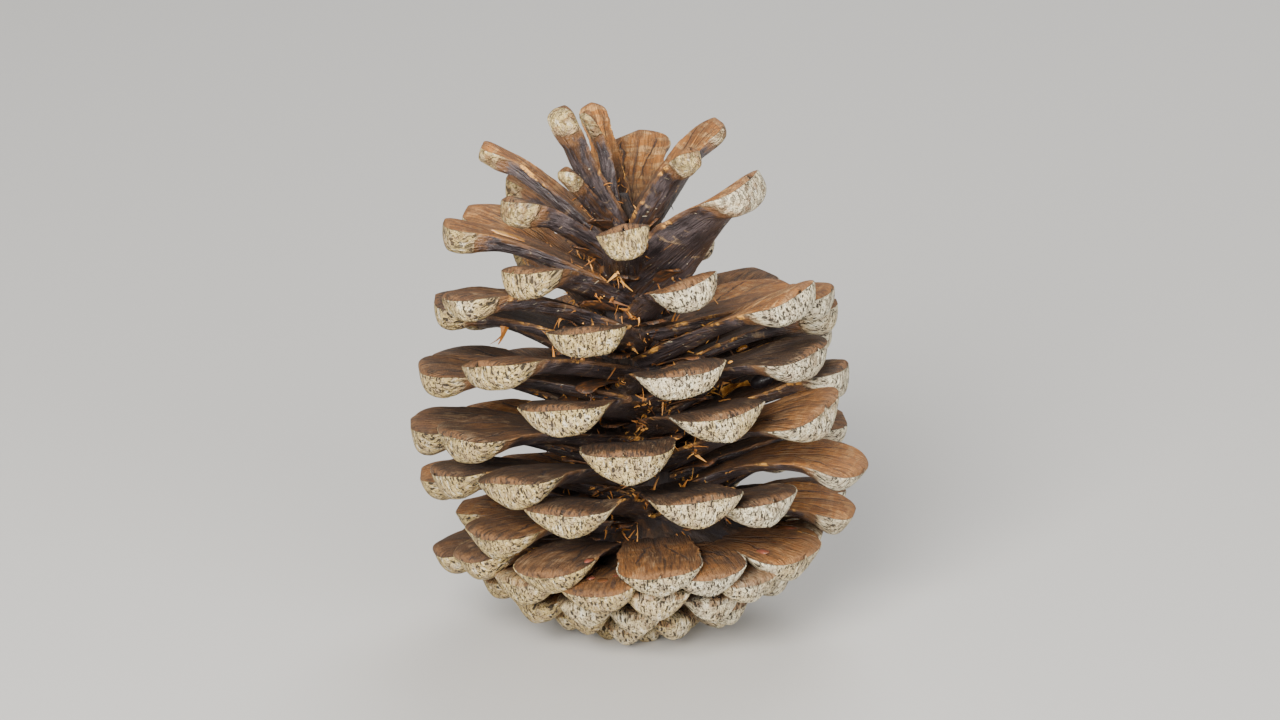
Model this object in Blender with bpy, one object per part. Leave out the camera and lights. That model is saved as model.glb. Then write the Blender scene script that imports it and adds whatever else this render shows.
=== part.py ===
"""Scots pine cone, dry and open, standing on its base.

The cone grew as one piece: woody scales on a central axis, set on a golden-angle spiral.
Each scale is a tongue that widens to a rounded end and thickens there into a shield with a blunt keel.
The lowest scales stay pressed together as a shallow bowl, and the top ones are narrow and stand up.
+Z is up, the origin is the middle of the stalk scar, and the front of the cone faces -Y.
"""

import math
import random

import bmesh
import bpy
import numpy as np
from mathutils import Matrix, Vector

# Driving sizes. Lengths are in millimetres and angles in degrees, and MM turns a length into metres.
MM = 0.001
SCALES = 126
GOLDEN_ANGLE = 137.508
FIRST_TURN = 196.6
LEAN = 5.2
LEAN_FULL_HEIGHT = 12.0
AXIS_HEIGHT = (0.0, 4.6, 10.0, 50.0)
AXIS_SHIFT = (0.3, 0.3, 1.2, -2.4)
CORE_SIDES = 16
WOOD_BROWN = (0.23, 0.13, 0.07, 1.0)
WOOD_ROUGHNESS = 0.75

# The cone's form, as values at a few scale numbers. Scale 0 is the lowest one, beside the stalk.
STATIONS = (0, 6, 14, 28, 36, 44, 51, 59, 67, 80, 93, 101, 106, 114, 118, 122, 127)
TIP_RADIUS = (3.6, 5.8, 9.2, 14.4, 17.0, 18.7, 19.6, 20.6, 21.2, 21.6, 20.6, 19.2, 18.0, 15.4, 13.7, 10.8, 5.0)
TIP_HEIGHT = (0.6, 1.4, 3.2, 6.3, 8.1, 9.9, 11.2, 13.8, 18.0, 24.4, 31.3, 35.9, 39.0, 44.3, 46.8, 50.2, 52.7)
TIP_PITCH = (-34, -26, -14, -6, -4, -5, -6, -6, 2, 8, 12, 15, 17, 18, 26, 46, 74)
ROOT_HEIGHT = (1.6, 2.1, 3.0, 4.6, 5.7, 7.0, 8.2, 10.0, 12.6, 18.6, 25.2, 29.4, 31.8, 36.0, 38.2, 40.2, 42.2)
HALF_WIDTH = (1.6, 1.9, 2.3, 3.0, 3.4, 3.7, 3.9, 4.1, 4.3, 4.5, 4.3, 3.7, 3.0, 2.5, 2.4, 1.3, 1.2)
SHIELD_DEPTH = (1.7, 2.0, 2.4, 2.7, 2.8, 2.8, 2.8, 2.8, 2.8, 3.1, 2.7, 2.6, 2.7, 2.9, 2.1, 1.6, 1.4)

# How one scale's width changes along it, and its depth with the distance from its end, as shares of its half
# width and its shield depth. The scales near the top are fingers, with a body nearly as broad as the end.
ALONG = (0.0, 0.25, 0.45, 0.60, 0.74, 0.86, 1.0)
WIDTH_SHARE = (0.62, 0.70, 0.78, 0.88, 0.97, 1.0, 1.0)
FROM_END = (0.0, 2.2, 3.6, 5.0, 8.0, 12.0, 16.8, 24.0)
DEPTH_SHARE = (1.0, 1.0, 0.90, 0.68, 0.46, 0.42, 0.50, 0.60)
BROADEST = 0.86
FIRST_FINGER = 108
LAST_BLADE = 120
FINGER_SHARE = 0.80
FINGER_FOOT = 0.35
FINGER_FADE = 0.25
FINGER_BODY = 0.72

# The shield at a scale's end: its length, and how its width and depth fall away in it toward a blunt end.
SHIELD_LENGTH = 3.4
LONGEST_SHIELD = 0.6
SHIELD_TO_WIDTH = 1.05
PLAN_POWERS = (2.4, 0.45)
SIDE_POWERS = (4.0, 0.6)
BLUNT_WIDTH = 0.50
BLUNT_DEPTH = 0.35

# The outlines across a scale. The closed scales of the base show their ends alone, so they take fewer.
LAST_CLOSED_SCALE = 44
OPEN_BODY_STEPS = (0.0, 0.45, 0.72)
OPEN_SHIELD_STEPS = (0.0, 0.65, 1.0)
CLOSED_BODY_STEPS = (0.40,)
CLOSED_SHIELD_STEPS = (0.35, 1.0)
TOP_ACROSS = (-1.0, 0.0, 1.0)
KEEL_ACROSS = (0.62, 0.0, -0.62)
KEEL_POWERS = (2.2, 3.8)
KEELED_TO, FLAT_FROM = 84, 98
RAISED_EDGE = 0.35
FALLEN_EDGE = 0.55
ROOT_RADIUS = 1.0
SMALLEST_ROOT_HALF_WIDTH = 1.2
TIP_HANDLE = 0.42

# The central axis, from the stalk scar to the top, as radius and height. Its lowest part fills the bowl of
# closed scales.
CORE_PROFILE = (
    (1.7, 0.0), (1.9, 1.0), (4.4, 2.2), (8.6, 4.8), (12.4, 7.9), (12.6, 8.9), (8.6, 10.5), (4.4, 13.0),
    (3.3, 16.2), (3.0, 23.2), (2.7, 31.2), (2.1, 37.2), (1.3, 41.7), (0.6, 43.6),
)

# Growth is never quite even: every scale strays a little from the rule.
SEED = 7
STRAY_TURN = 2.0
STRAY_PITCH = 3.0
STRAY_REACH = 0.03
STRAY_ROLL = 4.0


def stands(turn=0.0, pitch=0.0, reach=0.0, rise=0.0, roll=0.0, twist=0.0, breadth=1.0, knob=1.0, finger=0.0):
    """How far a scale stands off the rule: angles in degrees, roll at its end and twist at its root, reach and
    rise in millimetres, breadth and knob factors of its width and depth, finger what broadens its body."""
    angles = dict(turn=turn, pitch=pitch, roll=roll, twist=twist)
    return dict(angles, reach=reach, rise=rise, breadth=breadth, knob=knob, finger=finger)


# The scales of this cone that stand off the rule by more than that.
STANDS_OFF = {
    35: stands(reach=-2.0),
    38: stands(turn=-5, rise=0.4),
    41: stands(reach=1.0, rise=1.0),
    43: stands(turn=-10),
    46: stands(turn=-8),
    48: stands(reach=-2.5, rise=-1.5),
    49: stands(reach=1.0, rise=1.0),
    51: stands(turn=-5),
    56: stands(turn=-6, reach=-0.5, rise=-2.2, breadth=1.15),
    57: stands(reach=1.0, rise=-2.0),
    59: stands(rise=-1.8),
    61: stands(pitch=-16, reach=-1.0, rise=-3.8),
    64: stands(turn=2, pitch=7, rise=1.0),
    65: stands(reach=1.5),
    67: stands(turn=-4, pitch=6, rise=1.0),
    69: stands(pitch=-26, reach=1.0, rise=-2.0),
    70: stands(rise=0.9),
    72: stands(turn=-2, pitch=7, rise=-1.0),
    74: stands(reach=-2.0, rise=-2.0),
    75: stands(rise=-0.4, roll=8),
    77: stands(turn=4, pitch=4, rise=2.0, roll=12),
    78: stands(reach=0.8),
    80: stands(knob=1.1),
    82: stands(reach=-0.6, rise=0.6),
    83: stands(rise=-1.0),
    85: stands(turn=-3),
    87: stands(reach=-1.5),
    88: stands(turn=3),
    90: stands(reach=-1.0, roll=6),
    91: stands(reach=0.8, rise=-0.5),
    93: stands(turn=6, roll=6),
    95: stands(reach=-1.2, rise=-1.0),
    96: stands(reach=0.8, rise=-0.5, roll=4),
    98: stands(turn=8, pitch=6, reach=1.6, rise=2.4, roll=9),
    100: stands(pitch=-10, reach=-1.5, rise=-4.0, breadth=1.2),
    103: stands(pitch=-4, reach=1.6, rise=-2.7),
    104: stands(pitch=-8, reach=1.0),
    105: stands(reach=-1.0, rise=-2.0),
    106: stands(roll=12),
    107: stands(rise=2.2),
    109: stands(turn=-4),
    111: stands(pitch=20, reach=-1.8, rise=4.0, roll=16, twist=-50, breadth=1.5, finger=0.6),
    112: stands(reach=0.6),
    114: stands(roll=6),
    115: stands(reach=0.4, rise=-0.6, breadth=0.6),
    117: stands(reach=-1.2, breadth=0.8),
    118: stands(breadth=1.35),
    119: stands(turn=-1, reach=0.3, rise=2.4, breadth=0.6),
    120: stands(reach=0.6, rise=0.8, breadth=0.58),
    121: stands(reach=-0.8, rise=-0.2, breadth=1.6),
    122: stands(turn=-8, reach=-0.3, rise=-1.4, breadth=0.66, knob=0.75),
    123: stands(turn=-10, breadth=1.1),
    124: stands(turn=-116, pitch=12, reach=-5.2, rise=1.2, breadth=0.52, knob=0.6),
    125: stands(turn=34, pitch=16, reach=0.2, rise=2.4, breadth=1.05, knob=1.2),
}
AS_THE_RULE = stands()

# Scales that this cone has shed. Each leaves its place on the spiral empty.
SHED = (108, 113, 116)


def at_scale(values, number):
    """A value of the cone's form at one scale, between the stations."""
    return float(np.interp(number, STATIONS, values))


def axis_point(height):
    """The point of the central axis at a height: it stands upright at the base and leans to -X above it."""
    return Vector((float(np.interp(height, AXIS_HEIGHT, AXIS_SHIFT)), 0.0, height))


def lean_turn(height):
    """The turn that the lean gives to what grows at a height."""
    share = min(1.0, height / LEAN_FULL_HEIGHT)
    return Matrix.Rotation(-math.radians(LEAN) * share, 3, "Y")


def section(width, depth, edge_rise, keel_power):
    """One closed outline across a scale: (across, up) points, over the top and back along the keeled underside."""
    top = [(a * width, edge_rise * a * a) for a in TOP_ACROSS]
    under = [
        (a * width, edge_rise * a * a - depth * (1 - abs(a) ** keel_power))
        for a in KEEL_ACROSS
    ]
    return top + under


def scale_frame(number, stray):
    """Where one scale grows: its root, its tip and the handle point that bends the line between them."""
    off = STANDS_OFF.get(number, AS_THE_RULE)
    turn = FIRST_TURN - GOLDEN_ANGLE * number + off["turn"] + STRAY_TURN * stray.uniform(-1, 1)
    pitch = at_scale(TIP_PITCH, number) + off["pitch"] + STRAY_PITCH * stray.uniform(-1, 1)
    reach = at_scale(TIP_RADIUS, number) * (1 + STRAY_REACH * stray.uniform(-1, 1)) + off["reach"]
    roll = math.radians(STRAY_ROLL * stray.uniform(-1, 1) + off["roll"])
    turn, pitch = math.radians(turn), math.radians(pitch)
    root_height = at_scale(ROOT_HEIGHT, number)
    outward = Vector((math.sin(turn), -math.cos(turn), 0.0))
    up = Vector((0.0, 0.0, 1.0))
    root = outward * ROOT_RADIUS
    tip = outward * reach + up * (at_scale(TIP_HEIGHT, number) + off["rise"] - root_height)
    handle = tip - (outward * math.cos(pitch) + up * math.sin(pitch)) * (tip - root).length * TIP_HANDLE
    finger = max(0.0, (number - FIRST_FINGER) / (LAST_BLADE - FIRST_FINGER)) + off["finger"]
    return {
        "base": axis_point(root_height),
        "lean": lean_turn(root_height),
        "root": root,
        "handle": handle,
        "tip": tip,
        "sideways": Vector((math.cos(turn), math.sin(turn), 0.0)),
        "roll": roll,
        "twist": math.radians(off["twist"]),
        "half_width": at_scale(HALF_WIDTH, number) * off["breadth"],
        "depth": at_scale(SHIELD_DEPTH, number) * off["knob"],
        "finger": min(1.0, finger),
        "length": (tip - root).length,
        "keel_power": float(np.interp(number, (KEELED_TO, FLAT_FROM), KEEL_POWERS)),
    }


def shield_length(frame):
    """How long the rounded shield at a scale's end is."""
    return min(SHIELD_LENGTH, frame["length"] * LONGEST_SHIELD, frame["half_width"] * SHIELD_TO_WIDTH)


def sizes_at(s, frame):
    """A scale's half width and depth at a share of the way from its root to its tip."""
    from_end = (1 - s) * frame["length"]
    shield = shield_length(frame)
    toward_end = min(1.0, max(0.0, (shield - from_end) / shield))
    plan = max(BLUNT_WIDTH, (1 - toward_end ** PLAN_POWERS[0]) ** PLAN_POWERS[1])
    side = max(BLUNT_DEPTH, (1 - toward_end ** SIDE_POWERS[0]) ** SIDE_POWERS[1])

    fade = min(1.0, max(0.0, (1 - s / BROADEST) / FINGER_FADE))
    blend = frame["finger"] * fade * fade * (3 - 2 * fade)
    share = np.interp(s, ALONG, WIDTH_SHARE)
    share += ((1 - s) * FINGER_FOOT + FINGER_SHARE - share) * blend
    width = max(frame["half_width"] * share, SMALLEST_ROOT_HALF_WIDTH * (1 - s)) * plan
    body = max(np.interp(from_end, FROM_END, DEPTH_SHARE), frame["finger"] * FINGER_BODY)
    return width, frame["depth"] * body * side


def scale_mesh(number, stray):
    """The closed mesh of one scale, from its root inside the axis to its rounded tip."""
    frame = scale_frame(number, stray)
    root, handle, tip = frame["root"], frame["handle"], frame["tip"]
    sideways, roll, twist = frame["sideways"], frame["roll"], frame["twist"]
    base, lean = frame["base"], frame["lean"]

    mesh = bmesh.new()
    closed = number <= LAST_CLOSED_SCALE
    body_steps = CLOSED_BODY_STEPS if closed else OPEN_BODY_STEPS
    shield_steps = CLOSED_SHIELD_STEPS if closed else OPEN_SHIELD_STEPS
    share = shield_length(frame) / frame["length"]
    rings = []
    for s in body_steps + tuple(1 - share * (1 - e) for e in shield_steps):
        middle = root * (1 - s) ** 2 + handle * 2 * s * (1 - s) + tip * s * s
        along = ((handle - root) * (1 - s) + (tip - handle) * s).normalized()
        across = (Matrix.Rotation(twist * (1 - s) + roll * s, 3, along) @ sideways).normalized()
        normal = along.cross(across)
        width, thickness = sizes_at(s, frame)
        edge_rise = RAISED_EDGE * math.sin(math.pi * s) - FALLEN_EDGE * max(0.0, s - 0.7) / 0.3
        ring = [
            mesh.verts.new((base + lean @ (middle + across * a + normal * u)) * MM)
            for a, u in section(width, thickness, edge_rise, frame["keel_power"])
        ]
        rings.append(ring)
    for inner, outer in zip(rings, rings[1:]):
        for i in range(len(inner)):
            j = (i + 1) % len(inner)
            mesh.faces.new((inner[i], inner[j], outer[j], outer[i]))
    mesh.faces.new(list(reversed(rings[0])))
    mesh.faces.new(rings[-1])
    bmesh.ops.triangulate(mesh, faces=mesh.faces[:])
    bmesh.ops.recalc_face_normals(mesh, faces=mesh.faces[:])
    return mesh


def core_mesh():
    """The central axis as one turned solid that follows the lean."""
    mesh = bmesh.new()
    rings = []
    for radius, height in CORE_PROFILE:
        centre, lean = axis_point(height), lean_turn(height)
        ring = []
        for i in range(CORE_SIDES):
            angle = 2 * math.pi * i / CORE_SIDES
            around = Vector((math.cos(angle), math.sin(angle), 0.0)) * radius
            ring.append(mesh.verts.new((centre + lean @ around) * MM))
        rings.append(ring)
    for lower, upper in zip(rings, rings[1:]):
        for i in range(CORE_SIDES):
            j = (i + 1) % CORE_SIDES
            mesh.faces.new((lower[i], lower[j], upper[j], upper[i]))
    mesh.faces.new(list(reversed(rings[0])))
    mesh.faces.new(rings[-1])
    return mesh


def as_object(name, mesh):
    """A scene object from a bmesh."""
    data = bpy.data.meshes.new(name)
    mesh.to_mesh(data)
    mesh.free()
    made = bpy.data.objects.new(name, data)
    bpy.context.scene.collection.objects.link(made)
    return made


def unite(target, pieces):
    """Joins the pieces to the target in one Boolean union, applies it and removes them."""
    group = bpy.data.collections.new("united")
    for piece in pieces:
        group.objects.link(piece)
    union = target.modifiers.new("union", "BOOLEAN")
    union.operation = "UNION"
    union.operand_type = "COLLECTION"
    union.collection = group
    union.solver = "MANIFOLD"
    bake_modifiers(target)
    for piece in pieces:
        bpy.data.objects.remove(piece)
    bpy.data.collections.remove(group)


def cut_flat_below(target, height, reach):
    """Trims what lies below a height, so that the part stands on flat spots."""
    bpy.ops.mesh.primitive_cube_add(size=2 * reach, location=(0, 0, height - reach))
    cutter = bpy.context.object
    cut = target.modifiers.new("foot", "BOOLEAN")
    cut.operation = "DIFFERENCE"
    cut.object = cutter
    cut.solver = "MANIFOLD"
    bake_modifiers(target)
    bpy.data.objects.remove(cutter)


def bake_modifiers(target):
    """Replaces an object's mesh with its evaluated one."""
    depsgraph = bpy.context.evaluated_depsgraph_get()
    made = bpy.data.meshes.new_from_object(target.evaluated_get(depsgraph))
    target.modifiers.clear()
    target.data = made


def keep_outer_shell(target):
    """Keeps the largest closed shell: sealed hollows are filled, and loose scraps dropped."""
    mesh = bmesh.new()
    mesh.from_mesh(target.data)
    left = set(mesh.verts)
    shells = []
    while left:
        shell, reached = set(), [left.pop()]
        while reached:
            vertex = reached.pop()
            shell.add(vertex)
            for edge in vertex.link_edges:
                other = edge.other_vert(vertex)
                if other in left:
                    left.remove(other)
                    reached.append(other)
        shells.append(shell)
    largest = max(shells, key=len)
    bmesh.ops.delete(mesh, geom=[v for v in mesh.verts if v not in largest], context="VERTS")
    mesh.to_mesh(target.data)
    mesh.free()


def wood():
    """Dry brown cone wood."""
    material = bpy.data.materials.new("cone_wood")
    material.use_nodes = True
    shader = material.node_tree.nodes["Principled BSDF"]
    shader.inputs["Base Color"].default_value = WOOD_BROWN
    shader.inputs["Roughness"].default_value = WOOD_ROUGHNESS
    return material


def build():
    for old in list(bpy.data.objects):
        bpy.data.objects.remove(old)
    stray = random.Random(SEED)
    cone = as_object("cone", core_mesh())
    meshes = [scale_mesh(n, stray) for n in range(SCALES)]
    scales = [as_object(f"scale_{n}", mesh) for n, mesh in enumerate(meshes) if n not in SHED]
    unite(cone, scales)
    cut_flat_below(cone, 0.0, 50 * MM)
    keep_outer_shell(cone)
    cone.data.materials.clear()
    cone.data.materials.append(wood())


build()
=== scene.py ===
import math
import random

import bmesh
import bpy
import numpy as np
from mathutils import Matrix, Vector


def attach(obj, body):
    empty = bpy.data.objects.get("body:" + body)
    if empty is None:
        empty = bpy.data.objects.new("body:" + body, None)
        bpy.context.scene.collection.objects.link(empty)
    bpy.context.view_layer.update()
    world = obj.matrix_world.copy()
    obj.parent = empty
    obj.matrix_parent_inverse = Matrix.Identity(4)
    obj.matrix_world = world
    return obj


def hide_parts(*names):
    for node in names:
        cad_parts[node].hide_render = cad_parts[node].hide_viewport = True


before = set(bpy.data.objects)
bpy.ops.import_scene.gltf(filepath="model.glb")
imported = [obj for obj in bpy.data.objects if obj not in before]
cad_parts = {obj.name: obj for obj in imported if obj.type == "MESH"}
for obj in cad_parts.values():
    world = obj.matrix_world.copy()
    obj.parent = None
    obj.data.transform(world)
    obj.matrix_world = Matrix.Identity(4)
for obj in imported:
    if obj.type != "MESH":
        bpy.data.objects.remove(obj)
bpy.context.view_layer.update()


# Where the scales grow. A cone is a shoot: woody scales on a central axis, each turned by the golden angle
# from the one below it. They open as it dries: the lowest stay pressed together as a bowl, the middle ones
# stand level and the top ones are narrow fingers that stand up. Lengths are in millimetres.
MM = 0.001
SCALES = 126
GOLDEN_ANGLE = 137.508
FIRST_TURN = 196.6
LEAN = 5.2
LEAN_FULL_HEIGHT = 12.0

AXIS_HEIGHT = (0.0, 4.6, 10.0, 50.0)
AXIS_SHIFT = (0.3, 0.3, 1.2, -2.4)

STATIONS = (0, 6, 14, 28, 36, 44, 51, 59, 67, 80, 93, 101, 106, 114, 118, 122, 127)
TIP_RADIUS = (
    3.6, 5.8, 9.2, 14.4, 17.0, 18.7, 19.6, 20.6, 21.2, 21.6, 20.6, 19.2, 18.0, 15.4, 13.7, 10.8, 5.0,
)
TIP_HEIGHT = (0.6, 1.4, 3.2, 6.3, 8.1, 9.9, 11.2, 13.8, 18.0, 24.4, 31.3, 35.9, 39.0, 44.3, 46.8, 50.2, 52.7)
TIP_PITCH = (-34, -26, -14, -6, -4, -5, -6, -6, 2, 8, 12, 15, 17, 18, 26, 46, 74)
ROOT_HEIGHT = (1.6, 2.1, 3.0, 4.6, 5.7, 7.0, 8.2, 10.0, 12.6, 18.6, 25.2, 29.4, 31.8, 36.0, 38.2, 40.2, 42.2)
HALF_WIDTH = (1.6, 1.9, 2.3, 3.0, 3.4, 3.7, 3.9, 4.1, 4.3, 4.5, 4.3, 3.7, 3.0, 2.5, 2.4, 1.3, 1.2)
SHIELD_DEPTH = (1.7, 2.0, 2.4, 2.7, 2.8, 2.8, 2.8, 2.8, 2.8, 3.1, 2.7, 2.6, 2.7, 2.9, 2.1, 1.6, 1.4)
ROOT_RADIUS = 1.0
TIP_HANDLE = 0.42
FIRST_FINGER = 108
LAST_BLADE = 120

SEED = 7
STRAY_TURN = 2.0
STRAY_PITCH = 3.0
STRAY_REACH = 0.03
STRAY_ROLL = 4.0


def stands(turn=0.0, pitch=0.0, reach=0.0, rise=0.0, roll=0.0, twist=0.0, breadth=1.0, knob=1.0, finger=0.0):
    """How far a scale stands off the rule. Angles are in degrees: roll is at its end, twist at its root.
    Reach and rise are in millimetres. Breadth and knob scale its width and depth, finger its body."""
    angles = dict(turn=turn, pitch=pitch, roll=roll, twist=twist)
    return dict(angles, reach=reach, rise=rise, breadth=breadth, knob=knob, finger=finger)


STANDS_OFF = {
    35: stands(reach=-2.0),
    38: stands(turn=-5, rise=0.4),
    41: stands(reach=1.0, rise=1.0),
    43: stands(turn=-10),
    46: stands(turn=-8),
    48: stands(reach=-2.5, rise=-1.5),
    49: stands(reach=1.0, rise=1.0),
    51: stands(turn=-5),
    56: stands(turn=-6, reach=-0.5, rise=-2.2, breadth=1.15),
    57: stands(reach=1.0, rise=-2.0),
    59: stands(rise=-1.8),
    61: stands(pitch=-16, reach=-1.0, rise=-3.8),
    64: stands(turn=2, pitch=7, rise=1.0),
    65: stands(reach=1.5),
    67: stands(turn=-4, pitch=6, rise=1.0),
    69: stands(pitch=-26, reach=1.0, rise=-2.0),
    70: stands(rise=0.9),
    72: stands(turn=-2, pitch=7, rise=-1.0),
    74: stands(reach=-2.0, rise=-2.0),
    75: stands(rise=-0.4, roll=8),
    77: stands(turn=4, pitch=4, rise=2.0, roll=12),
    78: stands(reach=0.8),
    80: stands(knob=1.1),
    82: stands(reach=-0.6, rise=0.6),
    83: stands(rise=-1.0),
    85: stands(turn=-3),
    87: stands(reach=-1.5),
    88: stands(turn=3),
    90: stands(reach=-1.0, roll=6),
    91: stands(reach=0.8, rise=-0.5),
    93: stands(turn=6, roll=6),
    95: stands(reach=-1.2, rise=-1.0),
    96: stands(reach=0.8, rise=-0.5, roll=4),
    98: stands(turn=8, pitch=6, reach=1.6, rise=2.4, roll=9),
    100: stands(pitch=-10, reach=-1.5, rise=-4.0, breadth=1.2),
    103: stands(pitch=-4, reach=1.6, rise=-2.7),
    104: stands(pitch=-8, reach=1.0),
    105: stands(reach=-1.0, rise=-2.0),
    106: stands(roll=12),
    107: stands(rise=2.2),
    109: stands(turn=-4),
    111: stands(pitch=20, reach=-1.8, rise=4.0, roll=16, twist=-50, breadth=1.5, finger=0.6),
    112: stands(reach=0.6),
    114: stands(roll=6),
    115: stands(reach=0.4, rise=-0.6, breadth=0.6),
    117: stands(reach=-1.2, breadth=0.8),
    118: stands(breadth=1.35),
    119: stands(turn=-1, reach=0.3, rise=2.4, breadth=0.6),
    120: stands(reach=0.6, rise=0.8, breadth=0.58),
    121: stands(reach=-0.8, rise=-0.2, breadth=1.6),
    122: stands(turn=-8, reach=-0.3, rise=-1.4, breadth=0.66, knob=0.75),
    123: stands(turn=-10, breadth=1.1),
    124: stands(turn=-116, pitch=12, reach=-5.2, rise=1.2, breadth=0.52, knob=0.6),
    125: stands(turn=34, pitch=16, reach=0.2, rise=2.4, breadth=1.05, knob=1.2),
}
SHED = (108, 113, 116)
AS_THE_RULE = stands()


# The lowest scales are closed, and the last of these open a little more with each one.
CLOSED_ROWS = 44
CLOSING_ROWS = 6

# How orange the upper face of some scales is, from 0, dark brown, to 1. The others have a random share.
WARMTH = {
    51: 0.45, 54: 0.35, 56: 0.6, 59: 0.5, 61: 0.75, 64: 0.1, 67: 0.1, 69: 0.75, 70: 0.15, 72: 0.12, 75: 0.15,
    77: 0.5, 78: 0.3, 80: 0.08, 82: 0.3, 83: 0.25, 85: 0.1, 88: 0.25, 90: 0.05, 91: 0.35, 93: 0.15, 96: 0.45,
    98: 1.0, 100: 0.85, 101: 0.2, 103: 0.7, 104: 0.4, 107: 0.7, 109: 0.4, 111: 0.95, 112: 0.75, 114: 0.3,
    115: 0.6, 117: 0.3, 118: 1.0, 119: 0.6, 120: 0.85, 121: 1.0, 122: 0.4, 123: 0.9, 124: 0.7, 125: 0.5,
}
LEAST_WARMTH, STRAY_WARMTH = 0.10, 0.60

# How yellow a shield is: more on the left of the cone, less on the right.
YELLOW_MIDDLE, YELLOW_LEFT, STRAY_YELLOW = 0.30, 0.35, 0.25
YELLOW_SPAN = 20 * MM


def at_scale(values, number):
    """A value of the cone's form at one scale, between the stations."""
    return float(np.interp(number, STATIONS, values))


def axis_point(height):
    """The point of the central axis at a height: it stands upright at the base and leans to -X above it."""
    return Vector((float(np.interp(height, AXIS_HEIGHT, AXIS_SHIFT)), 0.0, height))


def lean_turn(height):
    """The turn that the lean gives to what grows at a height."""
    share = min(1.0, height / LEAN_FULL_HEIGHT)
    return Matrix.Rotation(-math.radians(LEAN) * share, 3, "Y")


def scale_seat(number, stray):
    """Where one scale grows, in metres: the three points that bend it, its cross direction and its sizes."""
    off = STANDS_OFF.get(number, AS_THE_RULE)
    turn = FIRST_TURN - GOLDEN_ANGLE * number + off["turn"] + STRAY_TURN * stray.uniform(-1, 1)
    pitch = at_scale(TIP_PITCH, number) + off["pitch"] + STRAY_PITCH * stray.uniform(-1, 1)
    reach = at_scale(TIP_RADIUS, number) * (1 + STRAY_REACH * stray.uniform(-1, 1)) + off["reach"]
    roll = math.radians(STRAY_ROLL * stray.uniform(-1, 1) + off["roll"])
    turn, pitch = math.radians(turn), math.radians(pitch)
    root_height = at_scale(ROOT_HEIGHT, number)
    outward = Vector((math.sin(turn), -math.cos(turn), 0.0))
    up = Vector((0.0, 0.0, 1.0))
    root = outward * ROOT_RADIUS
    tip = outward * reach + up * (at_scale(TIP_HEIGHT, number) + off["rise"] - root_height)
    handle = tip - (outward * math.cos(pitch) + up * math.sin(pitch)) * (tip - root).length * TIP_HANDLE
    base, lean = axis_point(root_height), lean_turn(root_height)
    finger = max(0.0, (number - FIRST_FINGER) / (LAST_BLADE - FIRST_FINGER)) + off["finger"]
    return {
        "foot": (base + lean @ root) * MM,
        "elbow": (base + lean @ handle) * MM,
        "end": (base + lean @ tip) * MM,
        "sideways": lean @ Vector((math.cos(turn), math.sin(turn), 0.0)),
        "roll": roll,
        "twist": math.radians(off["twist"]),
        "half_width": at_scale(HALF_WIDTH, number) * off["breadth"] * MM,
        "depth": at_scale(SHIELD_DEPTH, number) * off["knob"] * MM,
        "finger": min(1.0, finger),
        "length": (tip - root).length * MM,
        "number": float(number),
        "thinness": 1.0,
    }


stray = random.Random(SEED)
every_seat = [scale_seat(number, stray) for number in range(SCALES)]
seats = [seat for seat in every_seat if int(seat["number"]) not in SHED]
chance = random.Random(SEED + 1)
for seat in seats:
    seat["chance"] = chance.random()
    leftward = YELLOW_MIDDLE - YELLOW_LEFT * seat["end"].x / YELLOW_SPAN
    seat["yellow"] = leftward + STRAY_YELLOW * chance.random()
    seat["closed"] = min(1.0, max(0.0, (CLOSED_ROWS - seat["number"]) / CLOSING_ROWS))
    seat["warmth"] = WARMTH.get(int(seat["number"]), LEAST_WARMTH + STRAY_WARMTH * chance.random())


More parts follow.
